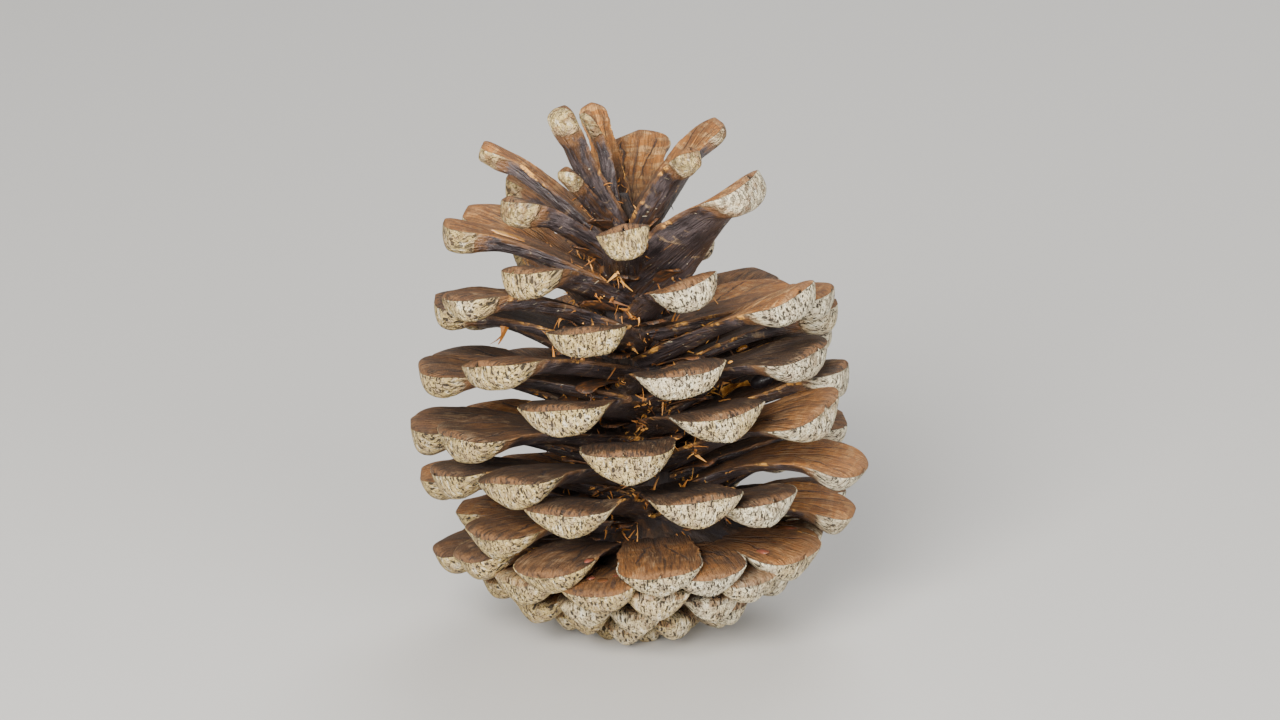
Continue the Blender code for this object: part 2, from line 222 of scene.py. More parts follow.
# The scales. Each is a woody tongue: smooth and grooved above, where two winged seeds lay, dark and striped
# below, and swollen at its end into a pale shield with a blunt keel, cracked as it dried. One tree makes all
# of them, and each steep spiral row is one piece. CAD's single node gives way to them.
class Wire:
    """One value in a node tree. Sums, products and powers of wires add the nodes that work them out."""

    def __init__(self, tree, socket):
        self.tree = tree
        self.socket = socket

    def node(self, kind, settings=None, sockets=None, out=0):
        """Adds any node: its type, its settings, then its sockets' values or wires by name or number."""
        made = self.tree.nodes.new(kind)
        for name, value in (settings or {}).items():
            if name == "stops":
                fill_ramp(made.color_ramp, value)
            elif name == "curve":
                fill_curve(made.mapping, value)
            else:
                setattr(made, name, value)
        for name, value in (sockets or {}).items():
            socket = made.inputs[name]
            if isinstance(value, Wire):
                self.tree.links.new(value.socket, socket)
            else:
                socket.default_value = value
        return Wire(self.tree, made.outputs[out])

    def math(self, operation, *others):
        """A Math node, or a Vector Math node where a vector goes in."""
        values = (self,) + others
        wires = [v for v in values if isinstance(v, Wire)]
        if any(w.socket.type in ("VECTOR", "RGBA") for w in wires):
            widened = [v if isinstance(v, Wire) or isinstance(v, tuple) else (v, v, v) for v in values]
            return self.node("ShaderNodeVectorMath", {"operation": operation}, dict(enumerate(widened)))
        return self.node("ShaderNodeMath", {"operation": operation}, dict(enumerate(values)))

    def swapped(self, operation, first):
        """The same with this wire as the second value."""
        if isinstance(first, tuple) or self.socket.type in ("VECTOR", "RGBA"):
            first = first if isinstance(first, tuple) else (first, first, first)
            return self.node("ShaderNodeVectorMath", {"operation": operation}, {0: first, 1: self})
        return self.node("ShaderNodeMath", {"operation": operation}, {0: first, 1: self})

    def __add__(self, other):
        return self.math("ADD", other)

    def __sub__(self, other):
        return self.math("SUBTRACT", other)

    def __rsub__(self, other):
        return self.swapped("SUBTRACT", other)

    def __mul__(self, other):
        return self.math("MULTIPLY", other)

    def __truediv__(self, other):
        return self.math("DIVIDE", other)

    def __pow__(self, other):
        return self.math("POWER", other)

    __radd__ = __add__
    __rmul__ = __mul__

    def __abs__(self):
        return self.math("ABSOLUTE")

    def __gt__(self, other):
        return self.math("GREATER_THAN", other)

    def sin(self):
        return self.math("SINE")

    def cos(self):
        return self.math("COSINE")

    def least(self, other):
        return self.math("MINIMUM", other)

    def most(self, other):
        return self.math("MAXIMUM", other)

    def cross(self, other):
        return self.math("CROSS_PRODUCT", other)

    def unit(self):
        return self.math("NORMALIZE")

    def rise(self, low, high):
        """0 below low, 1 above high and an eased step between them; a high under low makes it fall."""
        settings = {"interpolation_type": "SMOOTHSTEP"}
        return self.node("ShaderNodeMapRange", settings, {"Value": self, "From Min": low, "From Max": high})

    def part(self, axis):
        """One component of a vector, by its number."""
        return self.node("ShaderNodeSeparateXYZ", {}, {0: self}, axis)

    def curve(self, points):
        """The value read off a smooth curve through a few points."""
        return self.node("ShaderNodeFloatCurve", {"curve": points}, {"Value": self})

    def blend(self, low, high):
        """A colour between two others, with this wire as the share of the second."""
        settings = {"data_type": "RGBA", "clamp_factor": True}
        return self.node("ShaderNodeMix", settings, {0: self, 6: low, 7: high}, 2)

    def vector(self, x, y, z):
        return self.node("ShaderNodeCombineXYZ", {}, {0: x, 1: y, 2: z})

    def noise(self, detail, roughness=0.5, scale=1.0, out=0):
        """Random clouds, read at the place that this wire gives."""
        sockets = {"Vector": self, "Scale": scale, "Detail": detail, "Roughness": roughness}
        return self.node("ShaderNodeTexNoise", {"noise_dimensions": "3D"}, sockets, out)


def fill_ramp(ramp, stops):
    """Sets a colour ramp's stops, each a place and a colour."""
    while len(ramp.elements) < len(stops):
        ramp.elements.new(1.0)
    for element, (place, colour) in zip(ramp.elements, stops):
        element.position = place
        element.color = colour


def fill_curve(mapping, points):
    """Sets a float curve's points."""
    line = mapping.curves[0]
    while len(line.points) < len(points):
        line.points.new(1.0, 1.0)
    for point, (x, y) in zip(line.points, points):
        point.location = (x, y)
        point.handle_type = "AUTO_CLAMPED"
    mapping.update()


WIDTH_CURVE = ((0.0, 0.62), (0.25, 0.70), (0.45, 0.78), (0.60, 0.88), (0.74, 0.97), (0.86, 1.0), (1.0, 1.0))
DEPTH_CURVE = (
    (0.0, 1.0), (0.09, 1.0), (0.15, 0.90), (0.21, 0.68),
    (0.33, 0.46), (0.50, 0.42), (0.70, 0.50), (1.0, 0.60),
)
DEPTH_SPAN = 24.0 * MM
SHIELD_LENGTH = 3.4 * MM
SHIELD_TO_WIDTH = 1.05
LONGEST_SHIELD = 0.6
FINGER_BODY = 0.72
FINGER_SHARE = 0.80
FINGER_FOOT = 0.35
BROADEST = 0.86
SMALLEST_ROOT = 1.2 * MM
KEEL_POWERS = (2.2, 3.8)
KEELED_TO, FLAT_FROM = 84, 98
KEEL_LEAN = 0.55
FRAY = 0.9 * MM
FRAY_PER_METRE = 900.0
EDGE = 0.24 * MM
UMBO = 0.07
RAISED_EDGE = 0.35 * MM
FALLEN_EDGE = 0.55 * MM
GROOVE = 0.22 * MM
BED = 0.20 * MM
WARP = 0.5 * MM
WARP_SPAN = 7.0 * MM
RIB = 0.16 * MM
RIBS_ACROSS, RIBS_ALONG = 1100.0, 130.0
RING_CROWDING = 1.35
PLAN_ROUNDING = (2.4, 0.45)
SIDE_ROUNDING = (4.0, 0.6)
RAGGEDNESS = 0.22
FALL_FROM, FALL_SPAN = 0.7, 0.3
GROOVE_WIDTH = 0.02
BED_PLACE, BED_WIDTH = 0.5, 0.05
UMBO_PLACE, UMBO_LENGTH, UMBO_WIDTH = 1.5, 0.9, 0.05
GOLDEN_SHARE = 0.618
SEAT_VECTORS = ("foot", "elbow", "end", "sideways")
SHAPE_NUMBERS = ("roll", "half_width", "depth", "finger", "length", "number", "thinness", "twist")
LOOK_NUMBERS = ("warmth", "closed", "yellow")


def scale_tree():
    """The tree that makes every scale: a closed tube at each seat, bent, widened, thickened and grooved."""
    tree = bpy.data.node_groups.new("scales", "GeometryNodeTree")
    tree.interface.new_socket(name="Seats", in_out="INPUT", socket_type="NodeSocketGeometry")
    for name in ("Sides", "Rings"):
        tree.interface.new_socket(name=name, in_out="INPUT", socket_type="NodeSocketInt")
    tree.interface.new_socket(name="Wood", in_out="INPUT", socket_type="NodeSocketMaterial")
    tree.interface.new_socket(name="Geometry", in_out="OUTPUT", socket_type="NodeSocketGeometry")
    given = tree.nodes.new("NodeGroupInput")
    seats_in, sides, rings, wood = (Wire(tree, given.outputs[i]) for i in range(4))

    tube = seats_in.node(
        "GeometryNodeMeshCylinder",
        {"fill_type": "TRIANGLE_FAN"},
        {"Vertices": sides, "Side Segments": rings, "Fill Segments": 1, "Radius": 1.0, "Depth": 1.0},
    )
    place = tube.node("GeometryNodeInputPosition")

    def read(name, kind="FLOAT"):
        return tube.node("GeometryNodeInputNamedAttribute", {"data_type": kind}, {"Name": name})

    def keep(geometry, name, value, kind="FLOAT"):
        settings = {"data_type": kind, "domain": "POINT"}
        sockets = {"Geometry": geometry, "Name": name, "Value": value}
        return geometry.node("GeometryNodeStoreNamedAttribute", settings, sockets)

    stored = keep(tube, "tube", place, "FLOAT_VECTOR")
    placed = stored.node("GeometryNodeInstanceOnPoints", {}, {"Points": seats_in, "Instance": stored})
    mesh = placed.node("GeometryNodeRealizeInstances", {}, {"Geometry": placed})

    spot = read("tube", "FLOAT_VECTOR")
    across, lift = spot.part(0), spot.part(1)
    along = 1.0 - (1.0 - (spot.part(2) + 0.5)).most(0.0) ** RING_CROWDING
    foot, elbow, end, sideways = (read(name, "FLOAT_VECTOR") for name in SEAT_VECTORS)
    roll, half_width, depth, finger, length, number, thinness, twist = (read(name) for name in SHAPE_NUMBERS)

    back = 1.0 - along
    middle = foot * (back * back) + elbow * (along * back * 2.0) + end * (along * along)
    heading = ((elbow - foot) * back + (end - elbow) * along).unit()
    turned = twist * back + roll * along
    cross_way = (sideways * turned.cos() + heading.cross(sideways) * turned.sin()).unit()
    upward = heading.cross(cross_way)

    from_end = back * length
    shield = (length * LONGEST_SHIELD).least(SHIELD_LENGTH).least(half_width * SHIELD_TO_WIDTH)
    toward_end = ((shield - from_end) / shield).most(0.0).least(1.0)
    round_plan, round_side = (
        (1.0 - toward_end ** inner).most(0.0) ** outer for inner, outer in (PLAN_ROUNDING, SIDE_ROUNDING)
    )
    share = along.curve(WIDTH_CURVE)
    before = (along / BROADEST).rise(1.0, 0.75)
    share = share + (back * FINGER_FOOT + FINGER_SHARE - share) * finger * before
    width = (half_width * share).most(back * SMALLEST_ROOT) * round_plan
    body = (from_end / DEPTH_SPAN).curve(DEPTH_CURVE)
    thick = depth * thinness * body.most(finger * FINGER_BODY) * round_side

    ragged = mesh.vector(along * 3.0, number * 1.7, across * 0.4).noise(2.0)
    width = width * (1.0 + (ragged - 0.5) * RAGGEDNESS)
    fray = mesh.vector(along * length * FRAY_PER_METRE, number * 5.3, across * 2.0).noise(3.0)
    spread = abs(across)
    frayed = (fray - 0.5) * FRAY * along.rise(0.1, 0.3) * along.rise(0.9, 0.75) * spread ** 4.0
    square = across * across
    on_top = lift > 0.0
    edge = (EDGE * round_side) * thinness
    lip = (along * math.pi).sin()
    cup = (lip * RAISED_EDGE - ((along - FALL_FROM).most(0.0) / FALL_SPAN) * FALLEN_EDGE) * thinness
    groove = (0.0 - (square / GROOVE_WIDTH)).math("EXPONENT") * along.rise(0.86, 0.55) * GROOVE
    bed_way = spread - BED_PLACE
    bed_shape = (0.0 - (bed_way * bed_way) / BED_WIDTH).math("EXPONENT")
    bed = bed_shape * along.rise(0.1, 0.3) * along.rise(0.62, 0.42) * BED
    rib_place = mesh.vector(across * half_width * RIBS_ACROSS, along * length * RIBS_ALONG, number * 3.1)
    flat = ((number - KEELED_TO) / (FLAT_FROM - KEELED_TO)).most(0.0).least(1.0)
    keel_power = flat * (KEEL_POWERS[1] - KEEL_POWERS[0]) + KEEL_POWERS[0]
    keel_side = ((number * GOLDEN_SHARE).math("FRACT") - 0.5) * KEEL_LEAN * (1.0 - finger)
    belly = (thick - edge).most(0.0) * (1.0 - abs(across + keel_side * (1.0 - square)) ** keel_power)
    knob_way = (from_end / MM - UMBO_PLACE) / UMBO_LENGTH
    umbo = (0.0 - square / UMBO_WIDTH - knob_way * knob_way).math("EXPONENT") * (thick * UMBO)
    ribs = (rib_place.noise(2.0) - 0.5) * RIB * (1.0 - toward_end)
    under = (1.0 - on_top) * (belly + umbo + ribs)
    top = on_top * (groove + bed - ribs * 0.5)
    height = edge * lift + cup * square - under - top
    shaped = middle + cross_way * (across * (width + frayed)) + upward * height

    bend = (shaped / WARP_SPAN + number * 0.37).noise(1.0, out=1)
    strayed = shaped + (bend - (0.5, 0.5, 0.5)) * (along * (WARP * 2.0))
    strayed = mesh.vector(strayed.part(0), strayed.part(1), strayed.part(2).most(0.0))
    mesh = mesh.node("GeometryNodeSetPosition", {}, {"Geometry": mesh, "Position": strayed})

    local = mesh.vector(across * width / MM, along * length / MM, height / MM) + number * 7.3
    mesh = keep(mesh, "grown", local, "FLOAT_VECTOR")
    mesh = keep(mesh, "along", along)
    mesh = keep(mesh, "across", across)
    mesh = keep(mesh, "under", 0.0 - lift)
    mesh = keep(mesh, "from_end", from_end / MM)
    mesh = mesh.node("GeometryNodeSetShadeSmooth", {}, {"Geometry": mesh, "Shade Smooth": True})
    mesh = mesh.node("GeometryNodeSetMaterial", {}, {"Geometry": mesh, "Material": wood})
    leaving = tree.nodes.new("NodeGroupOutput")
    tree.links.new(mesh.socket, leaving.inputs[0])
    return tree


def points_of(name, spots, vectors, numbers):
    """An object of one point for each spot, which carries what its tree needs to know."""
    data = bpy.data.meshes.new(name)
    data.from_pydata([spot.get("place", (0.0, 0.0, 0.0)) for spot in spots], [], [])
    for field in vectors:
        layer = data.attributes.new(field, "FLOAT_VECTOR", "POINT")
        layer.data.foreach_set("vector", [c for spot in spots for c in spot[field]])
    for field in numbers:
        layer = data.attributes.new(field, "FLOAT", "POINT")
        layer.data.foreach_set("value", [spot[field] for spot in spots])
    made = bpy.data.objects.new(name, data)
    bpy.context.scene.collection.objects.link(made)
    return made


def grow(made, tree, given):
    """Turns the object's points into one plain mesh: the tree's result, with no modifier left."""
    modifier = made.modifiers.new(tree.name, "NODES")
    modifier.node_group = tree
    for item in tree.interface.items_tree:
        if item.name in given:
            modifier[item.identifier] = given[item.name]
    grown = made.evaluated_get(bpy.context.evaluated_depsgraph_get())
    finished = bpy.data.meshes.new_from_object(grown)
    points = made.data
    made.modifiers.clear()
    made.data = finished
    bpy.data.meshes.remove(points)
    finished.name = made.name
    return made


def grow_scales(name, some_seats, sides, rings, wood):
    """The scales of some seats as one piece."""
    made = points_of(name, some_seats, SEAT_VECTORS, SHAPE_NUMBERS + LOOK_NUMBERS)
    return grow(made, scale_form, {"Sides": sides, "Rings": rings, "Wood": wood})


CREAM = (0.82, 0.73, 0.50, 1.0)
CHALK = (0.93, 0.90, 0.80, 1.0)
STRAW = (0.60, 0.44, 0.17, 1.0)
ASH = (0.33, 0.25, 0.19, 1.0)
GOLD = (0.76, 0.44, 0.17, 1.0)
BUFF = (0.22, 0.105, 0.040, 1.0)
TAN = (0.46, 0.172, 0.030, 1.0)
BROWN = (0.078, 0.037, 0.016, 1.0)
UMBER = (0.048, 0.029, 0.019, 1.0)
SOOT = (0.029, 0.022, 0.023, 1.0)
PLUM_AND_SHEEN = (0.105, 0.080, 0.080, 1.0)
SPECK = (0.020, 0.013, 0.009, 1.0)
TORN_EDGE = (0.62, 0.27, 0.065, 1.0)
PALE_EDGE = (0.46, 0.31, 0.165, 1.0)
RED_BROWN = (0.130, 0.052, 0.020, 1.0)
BRIGHT_FIBRE = (0.85, 0.42, 0.09, 1.0)
DARK_GRAIN = (0.026, 0.015, 0.009, 1.0)

# Patterns on the wood, as how fine they are across a scale, along it and through it, per millimetre.
GRAIN = (3.2, 0.30, 1.5)
HAIRS = (9.0, 0.6, 3.0)
RIPPLES = (0.35, 1.4, 0.6)
SWIRLS = (1.2, 0.20, 1.0)
MARGIN = (1.0, 1.6, 1.0)
RIDGES = (2.6, 0.8, 1.0)
CRACKS = (1.7, 0.6, 1.0)
DASHES = ((3.3, 0.85, 1.0), 0.04, 0.38)
DOTS = ((2.6, 2.0, 1.0), -0.14, 0.30)
DUST = ((6.0, 3.6, 1.0), 0.0, 0.34)
CRUMBS = ((1.4, 1.1, 1.0), -0.22, 0.13)
# The last are painted highlights: cream dots that stand in for specks of light on the glossy underside.
PAINTED_GLINTS = ((2.3, 2.0, 1.0), -0.24, 0.17)
MARK_EDGE = 0.09

# Bands across a scale, by millimetres from its end: where each fades in or out and where it is full or gone.
COLLAR = (6.2, 5.0)
SHIELD = (4.7, 4.2)
BORDER = (3.5, 4.2)
KEEL = (1.6, 3.0)
OVER_RIM = (2.6, 1.2)
END_BAND = (1.0, 0.3)
LOWER_ROWS = (60.0, 50.0)
WOOD_RELIEF = 0.42 * MM


def bare_material(name):
    """A material with its output node alone, and a wire that starts its other nodes."""
    material = bpy.data.materials.new(name)
    material.use_nodes = True
    nodes = material.node_tree.nodes
    nodes.clear()
    nodes.new("ShaderNodeOutputMaterial")
    return material, Wire(material.node_tree, None)


def dressed(material, start, sockets):
    """The material with its finish, which these values and wires make."""
    shader = start.node("ShaderNodeBsdfPrincipled", {}, sockets)
    output = material.node_tree.nodes["Material Output"]
    material.node_tree.links.new(shader.socket, output.inputs["Surface"])
    return material


def scale_wood():
    """Cone wood: brown and grained above, dark and striped below, with a pale, cracked and specked shield."""
    material, start = bare_material("scale_wood")

    def read(name, out=2):
        return start.node("ShaderNodeAttribute", {"attribute_name": name}, {}, out)

    grown = read("grown", 1)
    along, across, under, from_end = read("along"), read("across"), read("under"), read("from_end")
    finger, warmth, closed = read("finger"), read("warmth"), read("closed")
    spread = abs(across)
    lower = read("number").rise(*LOWER_ROWS)

    grain = (grown * GRAIN).noise(4.0, 0.6)
    hairs = (grown * HAIRS).noise(2.0)
    blotch = grown.noise(3.0, 0.6, 0.42)
    patch = grown.noise(2.0, 0.5, 0.16)
    fleck = grown.noise(2.0, 0.6, 7.0)

    # The upper face: brown to orange, with dark grain, lighter ripples, a middle line, and painted shade that
    # darkens it towards the root.
    warm = (warmth + (patch - 0.5) * 0.8).rise(0.10, 0.95)
    top = warm.blend(BROWN, TAN)
    ripple = (grown * RIPPLES + blotch * 1.6).noise(3.0, 0.55)
    top = (ripple.rise(0.46, 0.62) * (warm * 0.35 + (warmth - 0.8).most(0.0) * 2.0)).blend(top, GOLD)
    swirls = (grown * SWIRLS + blotch * 1.2).noise(3.0, 0.6)
    top = (grain.rise(0.56, 0.38) * (0.85 - warm * 0.45) * (1.0 - lower * 0.4)).blend(top, DARK_GRAIN)
    top = (hairs.rise(0.54, 0.36) * (0.60 - warm * 0.30) * (1.0 - lower * 0.6)).blend(top, DARK_GRAIN)
    top = (lower * blotch.rise(0.47, 0.36) * 0.7).blend(top, UMBER)
    top = (lower * blotch.rise(0.50, 0.62) * 0.4).blend(top, BUFF)
    top = (lower * swirls.rise(0.56, 0.62) * 0.6).blend(top, SOOT)
    top = (blotch.rise(0.52, 0.68) * hairs.rise(0.45, 0.60) * 0.5).blend(top, PALE_EDGE)
    top = (swirls.rise(0.49, 0.40) * (0.20 + warm * 0.45) * (1.0 - lower * 0.7)).blend(top, RED_BROWN)
    top = (swirls.rise(0.52, 0.50) * swirls.rise(0.47, 0.49) * (0.25 + warm * 0.35)).blend(top, SOOT)
    top = (fleck.rise(0.54, 0.72) * 0.25).blend(top, PALE_EDGE)
    median = spread.rise(0.07, 0.015) * grain.rise(0.35, 0.6) * along.rise(0.93, 0.85) * 0.7
    scar_way = 0.20 + (along - 0.50) * 1.1 + (blotch - 0.5) * 0.4
    scar = abs(spread - scar_way).rise(0.045, 0.010) * along.rise(0.45, 0.55) * along.rise(0.88, 0.82) * 0.75
    top = median.most(scar).blend(top, SOOT)
    # Painted shade: towards its root, deep among the crowded scales by the axis, the upper face is darkened to
    # umber and soot.
    rooted = along.rise(0.70, 0.25)
    top = (rooted * 0.85 * blotch.rise(0.22, 0.60)).blend(top, UMBER)
    top = (rooted * grain.rise(0.46, 0.60) * 0.6).blend(top, SOOT)

    # The underside: nearly black, with lighter plum patches that are partly its own tone and partly painted
    # sheen, brown streaks, torn fibres and a brown collar before the shield.
    # Partly painted sheen: the lighter plum patches mix the wood's own purple tone with a sheen of light on
    # its gloss.
    below = (blotch * 0.5 + hairs * 0.5).rise(0.40, 0.62).blend(SOOT, PLUM_AND_SHEEN)
    below = (grain.rise(0.50, 0.60) * patch.rise(0.40, 0.54) * 0.8).blend(below, BROWN)
    below = (grain.rise(0.66, 0.74) * rooted * 0.6).blend(below, TORN_EDGE)

    wander = grown.noise(3.0, 0.55, 1.1) - 0.5
    collar = (from_end + wander * 2.6 + finger * 1.6 + (hairs - 0.5) * 2.5).rise(*COLLAR)
    below = (ripple.rise(0.60, 0.68) * blotch.rise(0.45, 0.6) * 0.55).blend(below, PALE_EDGE)
    below = (collar * 0.75).blend(below, BUFF)
    facing_down = under.rise(-0.02, 0.10)
    wood = facing_down.blend(top, below)

    # The margins, where it tore off its neighbours: dull in most places and bright where fresh.
    edge_place = (grown * MARGIN).noise(3.0, 0.6)
    torn = grown.noise(2.0, 0.5, 0.24)
    edge_line = (spread + (edge_place - 0.5) * 0.10).rise(0.93, 0.965) * along.rise(0.88, 0.74)
    wood = (edge_line * torn.rise(0.44, 0.52) * 0.6).blend(wood, BUFF)
    wood = (edge_line * torn.rise(0.55, 0.62) * edge_place.rise(0.46, 0.56) * 0.9).blend(wood, BRIGHT_FIBRE)

    # The shield: where it is, and its cream to straw skin with grey ridges, stains and a greyed keel, partly
    # the grey of its umbo and partly painted shade on its downward facet.
    shield_below = under.rise(-0.30, -0.12) * (from_end + wander * 2.0 + finger * 1.6).rise(*SHIELD)
    rim_side = spread.rise(0.955, 0.98) * along.rise(0.74, 0.84)
    over_rim = (1.0 - facing_down) * closed * (from_end + wander * 1.6).rise(*OVER_RIM)
    shield = shield_below.most(rim_side).most(over_rim)

    ridges = (grown * RIDGES).noise(3.0, 0.6)
    yellow = (patch * 0.7 + read("yellow") + (blotch - 0.5) * 0.8 + finger * 0.1).rise(0.42, 0.95)
    pale = yellow.blend(CREAM, STRAW)
    pale = (ridges.rise(0.48, 0.62) * 0.55).blend(pale, ASH)
    pale = (ridges.rise(0.46, 0.34) * 0.45).blend(pale, CHALK)
    pale = (blotch.rise(0.54, 0.70) * 0.35).blend(pale, ASH)
    stain = grown.noise(4.0, 0.65, 0.8).rise(0.48, 0.60) * (0.25 + finger * 0.5)
    pale = stain.blend(pale, BUFF)
    # Partly painted shade: the keel's downward facet is greyed with ash, over the grey of the umbo itself.
    keel = facing_down * from_end.rise(*KEEL) * spread.rise(0.75, 0.35)
    pale = (keel * 0.65 * fleck.rise(0.3, 0.6)).blend(pale, ASH)
    border = (from_end + wander * 2.0 + finger * 1.6).rise(*BORDER) * facing_down
    pale = (border * 0.7).blend(pale, PALE_EDGE)
    pale = (over_rim * blotch.rise(0.42, 0.60) * 0.8).blend(pale, BUFF)

    # The dark marks and cracks on the shield, the pale crumbs on the underside, and painted highlights: cream
    # dots over the glossy underside.
    jumble = (grown.noise(2.0, 0.5, 1.3, 1) - (0.5, 0.5, 0.5)) * 0.5
    flat = start.vector(grown.part(0), grown.part(1) + grown.part(2), 0.0) + jumble

    def marks_of(stretch, low, high):
        """Small marks on the sheet of wood, one to a cell, of sizes between two limits."""
        cells = {"Vector": flat * stretch, "Scale": 1.0, "Randomness": 1.0}
        settings = {"feature": "F1", "voronoi_dimensions": "2D"}
        gap = start.node("ShaderNodeTexVoronoi", settings, cells)
        size = start.node("ShaderNodeTexVoronoi", settings, cells, 1).part(0) * (high - low) + low
        return ((size - gap) / MARK_EDGE).most(0.0).least(1.0)

    cells = {"Vector": flat * CRACKS, "Scale": 1.0, "Randomness": 1.0}
    settings = {"feature": "DISTANCE_TO_EDGE", "voronoi_dimensions": "2D"}
    cracks = start.node("ShaderNodeTexVoronoi", settings, cells).rise(0.045, 0.012) * ridges.rise(0.46, 0.54)
    marks = marks_of(*DASHES).most(marks_of(*DOTS)).most(marks_of(*DUST) * 0.75).most(cracks)
    marks = marks * (1.0 - finger * 0.45)
    gloss = facing_down * (1.0 - shield)
    crumbs = marks_of(*CRUMBS) * gloss * blotch.rise(0.48, 0.58)
    pale = (marks * 0.94).blend(pale, SPECK)

    band = (from_end + wander * 0.9).rise(*END_BAND) * (1.0 - facing_down)
    wood = (band * grain.rise(0.38, 0.56) * 0.8).blend(wood, BUFF)
    wood = (crumbs * 0.7).blend(wood, PALE_EDGE)
    # Painted highlights: small cream dots on the glossy underside stand in for specks of reflected light.
    painted_glints = marks_of(*PAINTED_GLINTS) * gloss * patch.rise(0.40, 0.50)
    wood = (painted_glints * 0.8).blend(wood, CREAM)
    colour = shield.blend(wood, pale)

    rough_wood = grain * 0.9 + hairs * 0.6 + fleck * 0.25 - median.most(scar) * 0.6
    rough_shield = blotch * 0.9 + fleck * 0.4 + ridges * 1.6 - marks * 1.0
    relief = shield.node("ShaderNodeMix", {"data_type": "FLOAT"}, {0: shield, 2: rough_wood, 3: rough_shield})
    bump = start.node("ShaderNodeBump", {}, {"Strength": 1.0, "Distance": WOOD_RELIEF, "Height": relief})
    rough = 0.72 + shield * 0.06 - gloss * 0.36 + (blotch - 0.5) * 0.3
    sockets = {"Base Color": colour, "Roughness": rough, "Normal": bump, "Specular IOR Level": 0.45}
    return dressed(material, start, sockets)


wood = scale_wood()
scale_form = scale_tree()
SPIRAL_ROWS = 8
SIDES = 44
RINGS = 64
rows = []
for row in range(SPIRAL_ROWS):
    of_row = [seat for seat in seats if int(seat["number"]) % SPIRAL_ROWS == row]
    rows.append(grow_scales(f"scale_row_{row + 1}", of_row, SIDES, RINGS, wood))
for piece in rows:
    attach(piece, "root")
    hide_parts("cone")


# The axis. It is what the scales grow from: a rough woody spindle, broad inside the bowl of closed scales and
# thin above. Little of it shows between the scales.
AXIS_SIDES = 96
AXIS_RINGS = 120
KNOT = 0.10
KNOTS_FROM = 2
STRANDS = (7.0, 0.35, 0.4)
AXIS_RELIEF = 0.4 * MM
AXIS_PROFILE = (
    (1.7, 0.0), (1.9, 1.0), (4.4, 2.2), (8.6, 4.8), (12.2, 7.9), (12.2, 8.9), (8.6, 10.5), (4.4, 13.0),
    (3.3, 16.2), (3.0, 23.2), (2.7, 31.2), (2.1, 37.2), (1.3, 41.7), (0.6, 43.6),
)


def axis_mesh():
    """The spindle as one closed turned mesh that follows the lean, with knots where scales leave it."""
    heights = [h for _, h in AXIS_PROFILE]
    radii = [r for r, _ in AXIS_PROFILE]
    mesh = bmesh.new()
    rings = []
    for height in np.linspace(0.0, heights[-1], AXIS_RINGS):
        centre, lean = axis_point(height), lean_turn(height)
        radius = float(np.interp(height, heights, radii))
        ring = []
        for i in range(AXIS_SIDES):
            angle = 2 * math.pi * i / AXIS_SIDES
            knot = 1 + KNOT * math.sin(8 * angle + 1.1 * height) * math.sin(5 * angle - 0.9 * height)
            around = Vector((math.cos(angle), math.sin(angle), 0.0)) * radius
            around = around * (knot if height > KNOTS_FROM else 1.0)
            ring.append(mesh.verts.new((centre + lean @ around) * MM))
        rings.append(ring)
    for lower, upper in zip(rings, rings[1:]):
        for i in range(AXIS_SIDES):
            j = (i + 1) % AXIS_SIDES
            mesh.faces.new((lower[i], lower[j], upper[j], upper[i]))
    mesh.faces.new(list(reversed(rings[0])))
    mesh.faces.new(rings[-1])
    data = bpy.data.meshes.new("axis")
    mesh.to_mesh(data)
    mesh.free()
    data.shade_smooth()
    return data


def axis_wood():
    """Bark-like wood with lengthwise fibres, near black: its own brown fibres over painted shade for the dark
    hollow of the bowl.
    """
    material, start = bare_material("axis_wood")
    place = start.node("ShaderNodeTexCoord", {}, {}, 3)
    x, y, z = (place.part(i) / MM for i in range(3))
    turn, outward = y.math("ARCTAN2", x), (x * x + y * y).math("SQRT")
    fibres = start.vector(turn * STRANDS[0], outward * STRANDS[1], z * STRANDS[2]).noise(5.0, 0.65)
    lumps = place.noise(3.0, 0.5, 520.0)
    # Partly painted shade: the base colour is near black for the dark hollow that the axis fills, under its
    # own brown fibres.
    colour = lumps.rise(0.4, 0.65).blend(DARK_GRAIN, SOOT)
    colour = (fibres.rise(0.50, 0.62) * 0.8).blend(colour, BROWN)
    colour = (fibres.rise(0.60, 0.68) * lumps.rise(0.48, 0.60) * 0.8).blend(colour, TORN_EDGE)
    sockets = {"Strength": 1.0, "Distance": AXIS_RELIEF, "Height": fibres + lumps}
    bump = start.node("ShaderNodeBump", {}, sockets)
    return dressed(material, start, {"Base Color": colour, "Roughness": 0.8, "Normal": bump})


axis = bpy.data.objects.new("axis", axis_mesh())
bpy.context.scene.collection.objects.link(axis)
axis.data.materials.append(axis_wood())
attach(axis, "root")
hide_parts("cone")


# The bracts. Under the root of every open scale sits a small thin leaf, dark red-brown and dry, which is all
# that is left of what once covered the young scale.
FIRST_BRACT = 30
BRACT_HALF_WIDTH = 1.15 * MM
BRACT_DEPTH = 0.30 * MM
BRACT_FOOT, BRACT_ELBOW, BRACT_END = 0.08, 0.20, 0.16
BRACT_PAST = 2.6 * MM
BRACT_DROP = 0.5 * MM
BRACT_THINNESS = 0.5
BRACT_VEINS = (5.0, 0.6, 2.0)
BRACT_RELIEF = 0.15 * MM
BRACT_SIDES = 14
BRACT_RINGS = 16


def share_at(curve, place):
    """The value of a curve's points at a place between them."""
    return float(np.interp(place, [x for x, _ in curve], [y for _, y in curve]))


